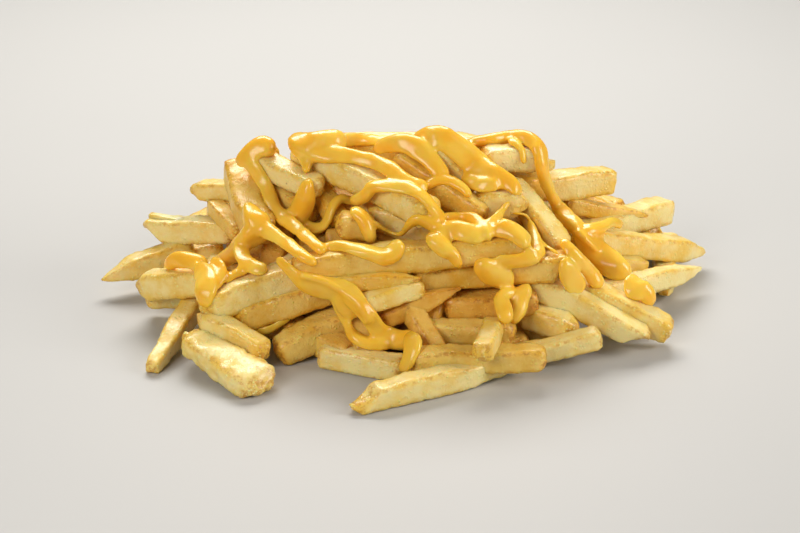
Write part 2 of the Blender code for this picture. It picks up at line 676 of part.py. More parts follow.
def build():
    clear_scene()
    draw = random.Random(SCATTER_SEED)
    placed = [(middle_line(start, end), width) for start, end, width, *_ in SHOWN_FRIES.values()]
    fries = [fry(*row) for row in SHOWN_FRIES.values()]
    mound = core()
    shown = surface_of(fries + [mound])
    for layer in LAYERS:
        fries += scatter(*layer, placed, shown, draw)
    surface = surface_of(fries + [mound])

    heap = add_object("fries_heap", *mound, bpy.context.scene.collection)
    unite(heap, fries + drizzle(surface))
    keep_largest_body(heap)
    thin_out(heap)
    mend_touching_edges(heap)
    cut_underside(heap)
    mend_touching_edges(heap)
    keep_largest_body(heap)
    heap.data.materials.clear()
    heap.data.materials.append(material("fry", FRY_COLOUR, FRY_ROUGHNESS))


build()
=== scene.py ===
"""A heap of french fries under thick poured cheese sauce, in place of the heap's plain solid.

Lengths in the constants and the tables are millimetres, and the meshes are made in metres. The
frame is +Z up and +X to the heap's right, with the origin on the table under its middle.
"""

import math
import random

import bpy
import numpy as np
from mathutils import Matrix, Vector, noise
from mathutils.bvhtree import BVHTree


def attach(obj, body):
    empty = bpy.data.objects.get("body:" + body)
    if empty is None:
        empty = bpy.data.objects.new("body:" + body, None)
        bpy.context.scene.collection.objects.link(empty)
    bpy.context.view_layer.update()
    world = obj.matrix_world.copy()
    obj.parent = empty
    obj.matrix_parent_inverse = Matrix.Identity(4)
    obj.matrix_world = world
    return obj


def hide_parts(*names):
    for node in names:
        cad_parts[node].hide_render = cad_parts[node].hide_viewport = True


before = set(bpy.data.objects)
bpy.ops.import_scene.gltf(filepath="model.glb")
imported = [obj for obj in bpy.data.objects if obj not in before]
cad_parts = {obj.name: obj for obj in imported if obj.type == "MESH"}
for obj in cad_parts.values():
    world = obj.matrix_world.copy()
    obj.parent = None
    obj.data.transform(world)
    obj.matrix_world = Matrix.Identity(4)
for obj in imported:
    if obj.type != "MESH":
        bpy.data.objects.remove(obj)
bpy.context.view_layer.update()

MM = 0.001
NODE = "fries_heap"

# The heap: half its width and depth on the table, and the height that its slope would reach
# in the middle. A fry on the table has its middle line FRY_REST above it.
HALF_WIDTH = 104.0
HALF_DEPTH = 88.0
PEAK = 57.0
FRY_REST = 4.0
SLOPE_POWER = 1.15

# A fry's plain section is a square with cut corners. CORNER and the scales are shares of half its
# width, and its middle stands out by BEND for each step of its bend. A fry whose lowest point is
# within TABLE_REACH of the table is laid on it, TABLE_DIP deep.
CORNER = 0.6
PLAIN_SECTION = (
    (1.0, CORNER), (CORNER, 1.0), (-CORNER, 1.0), (-1.0, CORNER),
    (-1.0, -CORNER), (-CORNER, -1.0), (CORNER, -1.0), (1.0, -CORNER),
)
BEND = 0.9
TABLE_REACH = 1.6
TABLE_DIP = 0.3

# The ways an end is cut. Each ring there: how far in it lies, its scale, and how much further in
# its top and its bottom are.
END_KINDS = {
    "cut": ((0.0, 0.78, 0.0, 0.0), (1.3, 1.0, 0.0, 0.0)),
    "round": ((0.0, 0.6, 0.0, 0.0), (2.6, 1.0, 0.0, 0.0)),
    "slant": ((0.0, 0.7, 5.0, 0.0), (1.6, 1.0, 5.0, 0.0)),
    "chisel": ((0.0, 0.6, 7.5, 0.0), (2.0, 1.0, 7.0, 0.0)),
    "under": ((0.0, 0.7, 0.0, 5.0), (1.6, 1.0, 0.0, 5.0)),
    "wedge": ((0.0, 0.62, 0.0, 0.0), (16.0, 1.0, 0.0, 0.0)),
    "tip": ((0.0, 0.22, 0.0, 0.0), (11.0, 1.0, 0.0, 0.0)),
}

# The core under the fries: a mound of uneven rings, whose side is steeper the higher CORE_BULGE is.
# CORE_CROWDING draws the rings towards its foot.
CORE_HALF_WIDTH = 68.0
CORE_HALF_DEPTH = 53.0
CORE_HEIGHT = 43.0
CORE_FOOT = -1.0
CORE_BULGE = 2.2
CORE_CROWDING = 1.4
CORE_RINGS = 6
CORE_SIDES = 18
CORE_LUMPS = 2.5

# The fries of the far side and the gaps, placed by a rule: how many, how deep under the heap's
# slope, between which turns about its middle, and how far out as a share of its outline. Each is
# tried at places up to SCATTER_REACH of the way out. Distances between two fries are taken from
# LINE_POINTS places along each.
LAYERS = (
    (20, 0.0, (0.0, math.pi), 1.02),
    (14, 6.0, (0.0, math.pi), 1.02),
    (12, 12.0, (0.0, math.pi), 1.02),
    (8, 10.0, (math.pi, math.tau), 0.66),
)
FRY_LENGTHS = (28.0, 62.0)
FRY_WIDTHS = (6.4, 8.6)
FRY_ENDS = ("cut", "cut", "slant", "tip")
FRY_BENDS = (-1, 0, 1)
SCATTER_SEED = 11
SCATTER_TRIES = 1500
SCATTER_REACH = 0.95
LINE_POINTS = 9
# The nearest that two middle lines may come, as a share of the gap at which the fries touch,
# and the furthest at which one still rests on the other.
NEAREST = 0.75
RESTING = 0.88
# The furthest that a fry's middle may be off the slope, and the least that a hidden place is behind
# what hides it.
MOST_BRIDGED = 7.0
HIDDEN_MARGIN = 1.0

# The fries that cover the core and show in the gaps: how many, how far over its surface, and how
# far they turn from lying round it. Each is a golden angle on from the one before.
INNER_FRIES = 46
INNER_LIFT = 2.0
INNER_TURN = 1.1
INNER_LENGTHS = (28.0, 42.0)
INNER_SEED = 5
GOLDEN_ANGLE = math.pi * (3 - math.sqrt(5))

# The photograph's camera. The drizzle that shows from the front is laid out as seen from
# VIEWPOINT: across and up on a plane through LOOK_AT.
VIEW_RISE = math.radians(24.0)
VIEW_DISTANCE = 678.0
LOOK_AT = Vector((-2.5, 0.0, 10.0))
TOWARD_VIEWER = Vector((0.0, -math.cos(VIEW_RISE), math.sin(VIEW_RISE)))
VIEWPOINT = LOOK_AT + VIEW_DISTANCE * TOWARD_VIEWER
VIEW_RIGHT = Vector((1.0, 0.0, 0.0))
VIEW_UP = Vector((0.0, math.sin(VIEW_RISE), math.cos(VIEW_RISE)))
LENS = 90.0
SENSOR = 36.0

# The fries' finer shape. Their section here is a square with round corners, sharper the higher
# SQUARENESS is. An end is closed by rings of these shares of its size, which stand out by its dome.
FINE_SIDES = 32
FINE_STEP = 0.9
SQUARENESS = 8.0
CAP_SHARES = (0.2, 0.45, 0.7, 0.9)
CAP_DOME = 0.9
ROUND_DOME = 2.4
# How a fine fry changes along its length: over what length, and how much in width, line and turn.
UNEVEN_LENGTH = 15.0
UNEVEN_WIDTH = 0.16
UNEVEN_LINE = 0.7
UNEVEN_TURN = 0.14
# Relief is given by the width of its bumps and their height. Fries narrower than
# FULL_RELIEF_WIDTH have less of it.
RELIEF = ((9.0, 0.4), (3.6, 0.26), (1.5, 0.15))
EDGE_RELIEF = (1.8, 0.45)
FULL_RELIEF_WIDTH = 7.0
# Where an edge starts, as a share of the way from a side's middle to a corner, and how far in from
# an end its rim reaches.
EDGE_START = 0.5
RIM = 2.4

# The sauce. A line of it is laid along its route with round ends, OVERRUN past them as a share of
# its width, and is SLIMNESS of the width that its route gives. A narrow line is THICKNESS of its
# width thick, and one that is BROAD wide is half of that. It bridges gaps up to BRIDGED long, falls
# no steeper than STEEPEST into those up to HUNG long, sags DROOP at most at its sides, and sinks
# into what it lies on. The lines are then melted into one skin, in steps of SAUCE_VOXEL, and
# smoothed. END_SHARE is the least share of its width that a line has at its very ends.
STRAND_STEP = 1.2
LANES = 9
THICKNESS = 1.05
BROAD = 5.5
SLIMNESS = 0.92
OVERRUN = 0.3
END_SHARE = 0.15
BRIDGED = 3.2
HUNG = 14.0
STEEPEST = 1.5
DROOP = 2.6
EDGE_SINK = 0.3
MIDDLE_SINK = 1.0
SAUCE_VOXEL = 0.6
SMOOTHING_FACTOR = 0.5
SMOOTHING_PASSES = 7
SAUCE_RELIEF = ((7.0, 0.45), (3.2, 0.16))

# The drizzle on the far side, poured from above in wandering lines that run outwards between
# these turns, from and to these shares of the heap's outline. A line starts within FAR_STRAND_PLACES
# of its share of the turns, and sways FAR_STRAND_SWAY half waves to its sides.
FAR_STRANDS = 9
FAR_STRAND_TURNS = (0.2 * math.pi, 0.8 * math.pi)
FAR_STRAND_PLACES = (0.2, 0.8)
FAR_STRAND_WIDTHS = (3.0, 9.0)
FAR_STRAND_STARTS = (0.12, 0.3)
FAR_STRAND_ENDS = (0.5, 0.85)
FAR_STRAND_KNOTS = 6
FAR_STRAND_WANDER = 0.28
FAR_STRAND_SWAY = 1.5
STRAND_SEED = 23

# The fries that show from the front: start, end, width, how each end is cut, the sideways bend, and,
# where it isn't as tall as it is wide, its height as a share of the width.
SHOWN_FRIES = {
    # On the table at the front.
    "front_long": ((-17, -86, 4), (34, -59, 4), 7.6, "chisel", "wedge", 0),
    "front_upper": ((1, -66, 7.5), (42, -65, 7.5), 7.8, "round", "cut", 1),
    "front_rise": ((27, -57.5, 3.2), (60.5, -51, 9), 6.2, "cut", "cut", 0),
    "front_stub": ((-27.3, -53.2, 4), (-1.6, -64.3, 4), 7.6, "cut", "cut", 0),
    "front_amber": ((-41, -52, 4), (-18, -42, 12), 8.8, "cut", "cut", 0),
    "low_round": ((3, -50, 11), (33, -52, 10), 7.2, "round", "cut", 0),
    "facing_stub": ((27.6, -54.7, 14.8), (22, -73, 13.2), 6.8, "cut", "cut", 0),
    "low_right": ((37.5, -40, 11.5), (52, -47, 9.5), 8.6, "cut", "round", 0),
    # The front face of the heap.
    "mid_brown": ((-8, -50, 14), (16, -46, 23), 6.4, "cut", "tip", 0),
    "mid_thick": ((12, -43, 16), (41, -43, 17), 8.4, "cut", "cut", 0),
    "mid_left": ((-14, -54, 21), (4, -47, 24), 6.2, "cut", "cut", 0),
    "mid_long": ((2, -42, 24.5), (51.5, -39, 28), 8.8, "cut", "under", 1),
    "mid_thin": ((-30, -46, 25), (3, -50, 28), 5.6, "cut", "tip", 0),
    "long_front": ((-36, -45, 29), (37, -43, 37), 8.2, "cut", "wedge", 0),
    "long_left": ((-64, -45, 16), (-30, -36, 26), 9.6, "round", "cut", 0),
    "amber_under": ((-54, -45, 12), (-22, -39, 20), 8.4, "round", "cut", 0),
    # The left end.
    "wide_front": ((-68, -51, 8.5), (-45.5, -74, 4.2), 12.0, "round", "cut", 0, 0.68),
    "narrow_front": ((-65, -46, 13), (-45, -59, 7), 6.8, "round", "cut", 0),
    "left_down": ((-80, -60, 3), (-62, -4, 15), 6.8, "wedge", "cut", 0),
    "left_stub": ((-87, -20, 12), (-65, -30, 19), 8.4, "round", "cut", 0),
    "left_stub_low": ((-86, -18, 6), (-72, -18, 7), 6.2, "cut", "cut", 0),
    "left_tip": ((-103, -2, 6), (-74, 9, 14), 7.2, "tip", "cut", 0),
    "left_behind": ((-79, 12, 7), (-64, 13, 11), 6.6, "cut", "cut", 0),
    "left_long": ((-89, 14, 18), (-59, 1, 23), 8.0, "under", "cut", 0),
    "left_sliver": ((-88, 14, 22.5), (-74, 8, 22.5), 3.6, "wedge", "tip", 0),
    "left_high": ((-72, 15, 32), (-42, -1, 37), 6.6, "round", "cut", 0),
    "left_curved": ((-66, 8, 29), (-55, -14, 28), 6.0, "round", "cut", 1),
    # The left shoulder and the top.
    "left_steep": ((-57, 6, 44), (-48, -25, 32), 10.0, "cut", "cut", 0),
    "left_back": ((-51, -1, 50), (-29, -20, 46), 7.6, "cut", "cut", 0),
    "left_under": ((-46, -4, 41), (-31, -18, 36), 7.2, "cut", "cut", 0),
    "left_inner": ((-34, -1, 47), (-22, -24, 37), 6.4, "cut", "cut", 0),
    "top_long": ((-36, -3, 54), (8, -37, 44), 9.0, "cut", "cut", 0),
    "skin_stub": ((-22, -34, 40), (-11, -33, 38), 8.0, "cut", "cut", 0),
    "inner_round": ((-12, -25, 39), (10, -32, 35), 7.8, "cut", "cut", 0),
    "top_middle": ((-3, -15, 55), (24, -30, 41), 7.8, "cut", "cut", 0),
    "top_ridge": ((8, -14, 58), (21, -17, 45), 7.6, "cut", "cut", 0),
    "top_low": ((8, -13, 43), (24, -29, 34), 7.6, "cut", "cut", 0),
    "top_chunk": ((22.5, -26, 44.5), (36.5, -24, 42.5), 9.0, "round", "round", 0),
    "top_right": ((25, -9, 52), (48, -2, 50), 8.0, "cut", "slant", 0),
    "ridge_left": ((-24, 3, 50), (10, 3, 51), 7.8, "cut", "cut", 0),
    "ridge_right": ((7, 1, 54), (44, 4, 49), 7.8, "cut", "cut", 0),
    # The right side.
    "slope_pale": ((33, -13, 45), (49, -32, 30), 7.4, "cut", "cut", 1),
    "right_upper": ((33, -3, 40), (69, 13, 36), 9.0, "cut", "cut", 0),
    "right_thin": ((53, 3, 31), (82, 16, 22), 5.0, "cut", "tip", 0),
    "right_white": ((54, -3, 22), (92, 31, 19), 8.6, "cut", "round", 0),
    "right_tip": ((54, -14, 27), (104, 23, 5), 7.8, "cut", "tip", 0),
    "right_stub": ((58, -17, 18), (80, -2, 11), 6.2, "cut", "cut", 0),
    "right_blade": ((56, -31, 14), (100, 4, 8), 6.6, "cut", "tip", -2),
    "right_low": ((48, -31, 21), (84, -41, 5.5), 8.0, "cut", "cut", 0),
    "right_pale": ((39, -38, 22), (76, -46, 5), 8.0, "cut", "under", 0),
}

# The drizzle that shows from the front: across, up and width at each point of a line's route,
# as seen from VIEWPOINT.
SHOWN_STRANDS = {
    # The left side.
    "left_mound": ((-54, 35, 5), (-51, 38, 7), (-46, 41, 8), (-44, 39, 7)),
    "left_run": (
        (-51, 35, 5), (-48, 31, 6), (-45, 26, 5.6), (-43, 21, 5.8),
        (-40, 17, 6), (-35, 13, 5.6), (-26, 5, 4),
    ),
    "left_fall": (
        (-52, 21, 3), (-50, 17, 9), (-48, 13, 11),
        (-53, 8, 7.5), (-57, 4, 7.5), (-62, 1, 6),
    ),
    "left_fork": ((-48, 14, 8), (-44, 11.5, 6.5), (-40, 9, 5.6), (-34, 4.5, 5.2), (-29, 1, 4)),
    "left_loop": ((-54, 7, 7), (-53, 3, 6.5), (-50, 0, 6), (-46, -1, 4.5)),
    "left_ridge": ((-59, -5, 2.5), (-55, -2, 4), (-52, -2, 3)),
    "left_patch": ((-79, 0, 4), (-76, 2, 6.5), (-71, 2, 6.5), (-67, 0, 6.5)),
    "left_drip": ((-68, 0, 6), (-66, -4, 8.5), (-66, -9, 8.5), (-66, -13, 5)),
    "left_drop": ((-63, 2, 5), (-61, -1, 5.5), (-62, -5, 5), (-64, -7, 4)),
    "amber_drip": ((-49, -21.5, 2.2), (-45, -21.5, 2.8), (-41, -19.5, 2.8), (-37, -17.5, 2)),
    # The top.
    "top_cover": ((-36, 43, 7), (-31, 41, 11), (-25, 42, 10), (-20, 43, 8)),
    "top_corner": ((-34, 40, 7), (-32, 36, 5.5), (-32, 32, 2.5)),
    "top_strand": ((-31, 39, 8), (-23, 38, 7), (-14, 37, 6), (-5, 34, 6), (2, 29, 6), (8, 27, 5.5)),
    "top_arch": ((8, 27, 4.5), (12, 29, 4), (17, 29, 4), (22, 26, 4), (23, 24, 3.5)),
    "top_rim": ((-22, 42.5, 7), (-14, 43, 5), (-4, 42.5, 4.5), (6, 43, 4.5)),
    "top_sheet": ((-8, 40, 5), (0, 42, 7.5), (6, 40, 8.5), (11, 35, 7), (15, 31, 5)),
    "top_ribbon": (
        (6, 43, 7), (11, 44, 9), (17, 42, 9.5), (23, 37, 10),
        (28, 32.5, 10.5), (33, 30, 9), (37.5, 28, 6.5), (40, 25, 4),
    ),
    "ribbon_ridge": ((16, 44, 3.5), (22, 41, 4.5), (28, 36, 4.5), (33, 31.5, 4.5), (37, 28.5, 3.5)),
    "top_lip": ((22, 30, 5), (27, 28, 6), (33, 28, 5)),
    "inner_blob": ((-31, 29, 4.5), (-32, 24, 7.5), (-34, 19, 9), (-36, 16, 7)),
    # The middle.
    "middle_start": (
        (-33, 14, 4), (-28, 13, 4.5), (-25, 15, 4),
        (-23, 20, 4), (-20, 23, 4), (-16, 22, 4),
    ),
    "middle_wave": (
        (-16, 22, 4.5), (-12, 24, 5), (-9, 27, 5), (-1, 27, 4.8),
        (6, 25, 5), (11, 20, 5), (14, 16, 5),
    ),
    "middle_turn": ((14, 16, 5), (18, 16, 5.5), (24, 16, 6), (28, 13, 6), (30, 10, 5)),
    "middle_sheet": ((15, 13, 6), (21, 12, 8), (27, 10, 7)),
    "stub_drop": ((-16, 19, 4.5), (-13, 17, 6), (-11, 13, 5.5), (-10, 9, 4)),
    "hollow_string": (
        (-9, 15, 1.8), (-4, 12, 1.8), (0, 11, 2.2), (3, 14, 3.5),
        (6, 16, 4.5), (11, 14, 5), (17, 10, 5),
    ),
    "front_tick": (
        (-26, 6.5, 3), (-20, 7, 4.6), (-13, 5.5, 5.8),
        (-6, 3.5, 7.4), (-2, 5, 7.6), (-1, 8, 6),
    ),
    "front_drip": ((11, 10, 6.5), (15, 6, 7), (18, 4, 5.5), (20, 0, 2.4)),
    # The right side.
    "right_start": ((24, 42, 4.5), (31, 43, 4.5), (38, 44, 5.5)),
    "right_run": (
        (38, 44, 5.5), (44, 43, 6), (47, 40, 6), (48, 35, 5.6),
        (49, 30, 5), (51, 25, 5), (53, 21, 5.6),
    ),
    "right_slide": ((53, 21, 5.6), (57, 16, 6.4), (61, 12, 6.8), (62, 8, 7)),
    "right_branch": ((37, 43, 3), (41, 40, 3), (42, 35, 2.4)),
    "right_bank": ((63, 12, 6), (67, 13, 5.6), (72, 15, 4.8), (75, 14, 4)),
    "right_bank_drop": ((67, 12, 5.5), (67, 7, 4.5)),
    "right_wide": ((62, 9, 7), (65, 6, 10), (69, 3, 11), (73, 0, 10.5), (77, -2, 6)),
    "right_finger": ((55, 9, 3), (57.5, 6, 5), (61, 2, 5), (64.5, -2, 6), (67, -5.5, 6.8)),
    "right_patch": ((56, 2, 4.5), (57.5, -3, 8), (60, -7.5, 8.5)),
    "wide_ridge": ((60, 12, 4), (65, 7, 4.5), (71, 2.5, 4.5), (76, -1.5, 4)),
    "right_blob": ((79, -4, 6), (79, -8, 7.5), (83, -8, 7.5), (85, -12, 4.8)),
    "slope_tick": ((37, 22, 2), (34, 18, 3), (32, 14, 7.5), (38, 12, 7.5), (43, 8, 6)),
    "slope_fall": ((44, 15, 3), (46, 9, 4.6), (47, 4, 6)),
    "slope_string": ((38, 18, 1.4), (43, 17, 1.4), (46, 10, 1.4), (54, 4, 1.4)),
    "end_wrap": ((36, 10, 2.4), (40, 10, 2.6), (43, 7, 2.6)),
    "mid_patch": ((33, 2, 4.5), (41, 2, 6.2), (46, 4, 7)),
    "mid_square": ((27, 1, 6.5), (30, -1.5, 9.5), (34, -3.5, 10), (36.5, -5, 8)),
    "cup_left": ((38, -8, 4), (35, -10, 6), (35, -14, 6.6), (36, -18, 6)),
    "cup_right": ((43, -7, 5.6), (41, -11, 6.6), (40, -15, 6.6), (38, -18, 5.5)),
    # The front.
    "front_start": ((-41, 2.5, 4), (-37, -1.5, 4.8), (-31, -6.5, 6.4), (-25, -7.5, 8), (-18, -8, 9.5)),
    "front_fill": ((-21, -8, 6), (-18, -12.5, 9), (-15.5, -16, 7)),
    "front_run": (
        (-18, -8, 8.5), (-14, -13, 7.4), (-9, -19, 7),
        (-6, -23, 7.4), (0, -25, 8.5), (4, -24, 6.5),
    ),
    "front_ridge": ((-34, -3, 4), (-24, -6, 4.5), (-15, -12, 4.5), (-10.5, -19, 4.5)),
    "front_side": (
        (-22, -9, 5), (-21, -13, 4.6), (-18, -19, 4),
        (-16, -23, 4.6), (-11, -26, 5), (-4, -26, 5.5),
    ),
    "front_fall": ((4, -24, 7), (4, -27, 7.5), (3, -31, 6), (1, -35, 4)),
}

# The lines of sauce that lie thinner or stand taller than the rest, with their thickness as a share
# of the usual one.
THICKNESSES = {"right_patch": 0.55, "ribbon_ridge": 2.1, "front_ridge": 2.1, "wide_ridge": 2.1}

# The sauce along the heap's crest and from it down the far side, to which the front's sauce reaches
# back: x, y and width at each point of a line's route, as seen from above.
CREST_STRANDS = {
    "crest_left": ((-38, 4, 6), (-32, 6, 8), (-24, 6, 8), (-14, 6, 6), (-4, 5, 5), (6, 6, 5)),
    "crest_right": ((3, 7, 5), (8, 8.5, 6), (13, 9, 6)),
    "crest_end": ((37, 8, 4), (41, 9, 5), (45, 8, 4.5)),
    "crest_mound": ((-54, 6, 5), (-49, 4, 7), (-44, 0, 6)),
    "crest_drip": ((-27, 7, 6), (-27, 14, 7), (-24, 21, 5.5), (-21, 26, 3.5)),
    "crest_drop": ((11, 9, 6), (14, 14, 6.5), (13, 20, 4.5)),
    "crest_fall": ((41, 9, 5), (45, 14, 5), (47, 20, 4)),
}

# The line above which nothing of the far side may show from the front: across and up, as seen from
# VIEWPOINT.
SKYLINE = ((-100, -3), (-37, 42), (54, 39), (106, 4))

# Which of the fries that show have browned more. The rest of them are pale, and the fries laid by
# the rule get their kind by these weights.
SHOWN_KINDS = {
    "golden": (
        "low_round", "mid_long", "mid_thin", "left_inner", "left_under", "right_thin",
        "top_low", "front_upper", "front_amber", "amber_under", "left_steep", "top_middle",
        "skin_stub", "long_front", "ridge_left", "ridge_right", "left_curved",
    ),
    "brown": ("mid_brown", "mid_thick"),
}
KIND_WEIGHTS = {"pale": 6, "golden": 3, "brown": 1}
KIND_SEED = 41

# The colours of each kind of fry, of the fries over the core and of the core: pale, deep, browned. The
# core's colours are darkened fry colours, painted shade for the gaps between the fries.
PALETTES = {
    "pale": ((0.97, 0.79, 0.34, 1.0), (0.87, 0.57, 0.075, 1.0), (0.62, 0.31, 0.03, 1.0)),
    "golden": ((0.92, 0.66, 0.17, 1.0), (0.79, 0.44, 0.03, 1.0), (0.48, 0.19, 0.014, 1.0)),
    "brown": ((0.84, 0.51, 0.09, 1.0), (0.68, 0.31, 0.02, 1.0), (0.36, 0.12, 0.009, 1.0)),
}
INNER_COLOURS = ((0.85, 0.55, 0.12, 1.0), (0.68, 0.35, 0.03, 1.0), (0.4, 0.15, 0.012, 1.0))
CORE_SHADED_COLOURS = ((0.45, 0.23, 0.04, 1.0), (0.33, 0.14, 0.02, 1.0), (0.2, 0.07, 0.008, 1.0))
CORE_RELIEF = ((9.0, 2.0), (4.0, 1.0))
CORE_FINENESS = 4

# In the materials a noise is given by the size, detail and roughness of its bumps, and a stretch is
# the range of a value over which something comes in.
# What makes a fry deeper in colour: patches, nearness to an edge, and its own tone, each by its
# weight. Its edges are browned in spots.
PATCH_NOISE = (8.0, 4.0, 0.6)
PATCH_STRETCH = (0.28, 0.72)
PATCH_WEIGHT = 0.4
EDGE_WEIGHT = 0.5
TONE_WEIGHT = 0.5
DEPTH_STRETCH = (-0.2, 1.0)
SPOT_NOISE = (2.4, 5.0, 0.8)
SPOT_STRETCH = (0.4, 0.62)
RIM_STRETCH = (0.2, 0.8)
BROWN_SHARE = 0.8
# The fine crust: its grains, the crowds that they stand in, how much of its lighter colour shows on a
# face and at an edge, and how many times as bright as the pale colour it is.
# That lighter colour is partly the crust's own and partly painted glints.
GRAIN_SIZE = 1.15
GRAIN_STRETCH = (0.1, 0.45)
CROWD_NOISE = (3.5, 3.0, 0.5)
CROWD_STRETCH = (0.42, 0.6)
CRUST_AND_GLINT_SHARES = (0.45, 0.8)
CRUST_AND_GLINT_BRIGHTNESS = 1.35
CRUST_HEIGHT = 0.18
CRUST_ROUGHNESS = 0.22
FRY_ROUGHNESS = 0.4
# A fry's finest bumps: their noise and height.
FRY_BUMPS = (((2.2, 3.0, 0.6), 0.36), ((0.8, 2.0, 0.6), 0.14))
# The dark specks: how far apart, how far each reaches as a share of that, its strength and colour.
SPECK_SPACING = 9.0
SPECK_STRETCH = (0.03, 0.05)
SPECK_SHARE = 0.5
SPECK_COLOUR = (0.28, 0.11, 0.02, 1.0)

# The sauce where it is thin and where it is thick, in patches of this size.
SAUCE_COLOURS = ((0.99, 0.52, 0.035, 1.0), (1.0, 0.62, 0.075, 1.0))
SAUCE_PATCH_SIZE = 11.0
SAUCE_PATCH_STRETCH = (0.35, 0.65)
SAUCE_BUMP_SIZE = 3.0
SAUCE_BUMP_HEIGHT = 0.12

FLOOR_SIZE = 6000.0
FLOOR_GAP = 0.05
FLOOR_COLOURS = ((0.5, 0.5, 0.49, 1.0), (0.53, 0.525, 0.515, 1.0))
FLOOR_PATCH_SIZE = 220.0
WORLD_COLOUR = (1.0, 0.97, 0.93, 1.0)
WORLD_STRENGTH = 0.14
# Name, place, size, power in watts, colour.
LIGHTS = (
    ("top_back", (-60, 420, 500), (560, 300), 4.9, (1.0, 0.97, 0.92)),
    ("left_front", (-460, -600, 460), (420, 420), 3.5, (1.0, 0.96, 0.9)),
    ("right", (620, -160, 320), (260, 420), 2.9, (1.0, 0.97, 0.93)),
)
# The place that they all point at.
LIT_PLACE = Vector((0.0, 0.0, 20.0))


def tube_faces(rings, sides):
    """The faces of rings joined in order, with both ends closed."""
    faces = [tuple(reversed(range(sides)))]
    for ring in range(rings - 1):
        first = ring * sides
        for side in range(sides):
            after = (side + 1) % sides
            faces.append((first + side, first + after, first + sides + after, first + sides + side))
    faces.append(tuple((rings - 1) * sides + side for side in range(sides)))
    return faces


def round_section(squareness=SQUARENESS):
    """The points of a square section with round corners."""
    points = []
    for side in range(FINE_SIDES):
        angle = math.tau * (side + 0.5) / FINE_SIDES
        across, rise = math.cos(angle), math.sin(angle)
        reach = (abs(across) ** squareness + abs(rise) ** squareness) ** (-1 / squareness)
        points.append((across * reach, rise * reach))
    return points


def plain_rings(length, start_kind, end_kind):
    """The rings of a fry: how far along each lies, its scale, and how far on its top and bottom are."""
    rings = list(END_KINDS[start_kind])
    rings.append((length / 2, 1.0, 0.0, 0.0))
    for inset, scale, top, bottom in reversed(END_KINDS[end_kind]):
        rings.append((length - inset, scale, -top, -bottom))
    return rings


def fine_rings(length, start_kind, end_kind, flatness):
    """The same rings at an even step, with each end closed by smaller, domed rings."""
    columns = list(zip(*plain_rings(length, start_kind, end_kind)))
    start_dome, end_dome = (
        ROUND_DOME if kind == "round" or flatness < 1 else CAP_DOME for kind in (start_kind, end_kind)
    )
    places = np.linspace(0.0, columns[0][-1], round(columns[0][-1] / FINE_STEP) + 1)
    fine = list(zip(places, *(np.interp(places, columns[0], column) for column in columns[1:])))
    start, end = [], []
    for share in CAP_SHARES:
        out = 1 - share**2
        start.append((-start_dome * out, fine[0][1] * share, *fine[0][2:]))
        end.insert(0, (places[-1] + end_dome * out, fine[-1][1] * share, *fine[-1][2:]))
    return start + fine + end


def uneven(distance, seed):
    """A smooth random change along a fry, another for each seed."""
    return noise.noise(Vector((distance / UNEVEN_LENGTH, seed, 0.5)))


def fry(start, end, width, start_kind, end_kind, bend, flatness=1.0, fine=False):
    """The points and faces of one fry, laid on the table where it comes close to it.

    A fine fry that is flatter than it is wide is rounder too, and more uneven.
    """
    start, end = Vector(start), Vector(end)
    seed = start.x + end.y
    length = (end - start).length
    along = (end - start).normalized()
    side = Vector((0.0, 0.0, 1.0)).cross(along).normalized()
    up = along.cross(side)
    half = width / 2
    section = round_section(SQUARENESS * flatness**2) if fine else PLAIN_SECTION
    unevenness = UNEVEN_WIDTH / flatness**2
    if fine:
        rings = fine_rings(length, start_kind, end_kind, flatness)
    else:
        rings = plain_rings(length, start_kind, end_kind)
    points = []
    for distance, scale, top, bottom in rings:
        share = distance / length
        bow = bend * BEND * 4 * share * (1 - share)
        middle = start + side * bow
        wide = half * scale
        tall = wide * flatness
        turn = 0.0
        if fine:
            wider, taller, twist, aside, lift = (uneven(distance, seed + way) for way in range(1, 6))
            wide *= 1 + unevenness * wider
            tall *= 1 + unevenness * taller
            turn = UNEVEN_TURN * twist
            middle += side * UNEVEN_LINE * aside
            middle += up * UNEVEN_LINE * lift
        turned_side = side * math.cos(turn) + up * math.sin(turn)
        turned_up = up * math.cos(turn) - side * math.sin(turn)
        for across, rise in section:
            lean = top * (0.5 + 0.5 * rise) + bottom * (0.5 - 0.5 * rise)
            spot = middle + along * (distance + lean)
            points.append(spot + turned_side * (across * wide) + turned_up * (rise * tall))
    lowest = min(point.z for point in points)
    if abs(lowest) < TABLE_REACH:
        drop = Vector((0.0, 0.0, -TABLE_DIP - lowest))
        points = [point + drop for point in points]
    return points, tube_faces(len(rings), len(section))


def flatness_of(row):
    """A fry's height as a share of its width."""
    return row[6] if len(row) > 6 else 1.0


def edge_shares(row):
    """How near each point of a fine fry is to an edge or an end of it, from 0 to 1."""
    start, end, _, start_kind, end_kind, *_ = row
    length = (Vector(end) - Vector(start)).length
    shares = []
    for distance, *_ in fine_rings(length, start_kind, end_kind, flatness_of(row)):
        rim = 1 - min(distance, length - distance) / RIM
        for across, rise in round_section():
            low, high = sorted((abs(across), abs(rise)))
            corner = (low / high - EDGE_START) / (1 - EDGE_START)
            shares.append(min(max(rim, corner, 0.0), 1.0))
    return shares


def core():
    """The lumpy mound that the fries lie on."""
    draw = random.Random(SCATTER_SEED)
    points = []
    for ring in range(CORE_RINGS):
        out = 1 - (ring / CORE_RINGS) ** CORE_CROWDING
        height = CORE_HEIGHT * (1 - out**CORE_BULGE) if ring else CORE_FOOT
        for side in range(CORE_SIDES):
            angle = math.tau * side / CORE_SIDES
            lump = draw.uniform(-CORE_LUMPS, CORE_LUMPS) if ring else 0.0
            x = (CORE_HALF_WIDTH * out + lump) * math.cos(angle)
            y = (CORE_HALF_DEPTH * out + lump) * math.sin(angle)
            points.append(Vector((x, y, height + lump)))
    return points, tube_faces(CORE_RINGS, CORE_SIDES)


